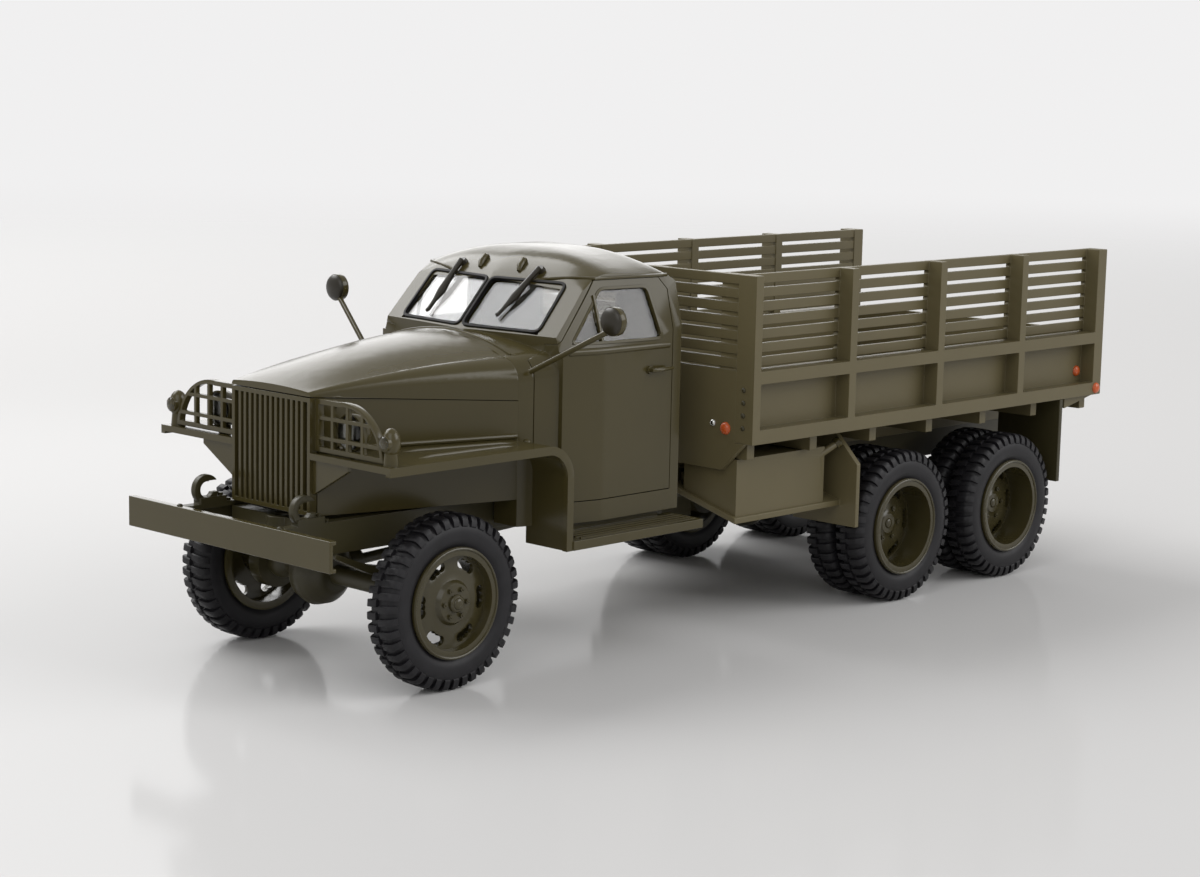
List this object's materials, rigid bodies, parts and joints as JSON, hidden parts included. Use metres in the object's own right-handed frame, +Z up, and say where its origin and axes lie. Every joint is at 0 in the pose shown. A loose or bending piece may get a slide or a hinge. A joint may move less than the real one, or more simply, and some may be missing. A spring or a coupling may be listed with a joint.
{
  "type": "scale model military cargo truck",
  "caption": "Small scale model of a bonneted three-axle cargo truck with slatted load bed, barred grille, lamp guards and free-rolling twin wheels",
  "frame": {"origin": "on the ground, on the centreline, under the middle of the overall length", "axes": "+X towards the front bumper, +Y to the truck's left, +Z up"},
  "size_m": [0.1502, 0.0558, 0.0514],
  "materials": {
    "body_paint": "semi-gloss olive drab",
    "olive_plastic": "satin olive drab",
    "wheel_paint": "satin olive drab",
    "interior": "matt",
    "glazing": "clear",
    "tyre": "matt black"
  },
  "bodies": {
    "chassis": {"axle_front": "olive_plastic", "axle_mid": "olive_plastic", "axle_rear": "olive_plastic", "bed_floor": "olive_plastic", "bed_front": "olive_plastic", "bed_side_left": "olive_plastic", "bed_side_right": "olive_plastic", "bench_seat": "interior", "cab_shell": "body_paint", "crossmember_bogie": "olive_plastic", "crossmember_front": "olive_plastic", "crossmember_tail": "olive_plastic", "dashboard": "interior", "door_glass_left": "glazing", "door_glass_right": "glazing", "door_left": "body_paint", "door_right": "body_paint", "engine_gearbox": "olive_plastic", "frame_rail_left": "olive_plastic", "frame_rail_right": "olive_plastic", "front_bumper": "olive_plastic", "front_fender_left": "body_paint", "front_fender_right": "body_paint", "fuel_tank": "olive_plastic", "grille": "olive_plastic", "headlamp_left": "body_paint", "headlamp_right": "body_paint", "hood": "body_paint", "mirror_left": "olive_plastic", "mirror_right": "olive_plastic", "mudflap_rear_left": "olive_plastic", "mudflap_rear_right": "olive_plastic", "propshaft_rear": "olive_plastic", "radiator": "olive_plastic", "rear_glass": "glazing", "running_board_left": "olive_plastic", "running_board_right": "olive_plastic", "side_tray_left": "olive_plastic", "side_tray_right": "olive_plastic", "spring_bogie_left": "olive_plastic", "spring_bogie_right": "olive_plastic", "spring_front_left": "olive_plastic", "spring_front_right": "olive_plastic", "tailgate": "olive_plastic", "tool_box": "olive_plastic", "transfer_case": "olive_plastic", "windshield_glass_left": "glazing", "windshield_glass_right": "glazing"},
    "wheel_set_front_left": {"tyre_front_left": "tyre", "wheel_front_left": "wheel_paint"},
    "wheel_set_front_right": {"tyre_front_right": "tyre", "wheel_front_right": "wheel_paint"},
    "wheel_set_mid_left": {"tyre_mid_left": "tyre", "wheel_mid_left": "wheel_paint"},
    "wheel_set_mid_right": {"tyre_mid_right": "tyre", "wheel_mid_right": "wheel_paint"},
    "wheel_set_rear_left": {"tyre_rear_left": "tyre", "wheel_rear_left": "wheel_paint"},
    "wheel_set_rear_right": {"tyre_rear_right": "tyre", "wheel_rear_right": "wheel_paint"}
  },
  "joints": [
    {"name": "front_left_spin", "type": "hinge", "parent": "chassis", "child": "wheel_set_front_left", "pos_m": [0.0559, 0, 0.01083], "axis": [0, 1, 0], "continuous": true},
    {"name": "front_right_spin", "type": "hinge", "parent": "chassis", "child": "wheel_set_front_right", "pos_m": [0.0559, 0, 0.01083], "axis": [0, 1, 0], "continuous": true},
    {"name": "mid_left_spin", "type": "hinge", "parent": "chassis", "child": "wheel_set_mid_left", "pos_m": [-0.0268, 0, 0.01083], "axis": [0, 1, 0], "continuous": true},
    {"name": "mid_right_spin", "type": "hinge", "parent": "chassis", "child": "wheel_set_mid_right", "pos_m": [-0.0268, 0, 0.01083], "axis": [0, 1, 0], "continuous": true},
    {"name": "rear_left_spin", "type": "hinge", "parent": "chassis", "child": "wheel_set_rear_left", "pos_m": [-0.0525, 0, 0.01083], "axis": [0, 1, 0], "continuous": true},
    {"name": "rear_right_spin", "type": "hinge", "parent": "chassis", "child": "wheel_set_rear_right", "pos_m": [-0.0525, 0, 0.01083], "axis": [0, 1, 0], "continuous": true}
  ]
}
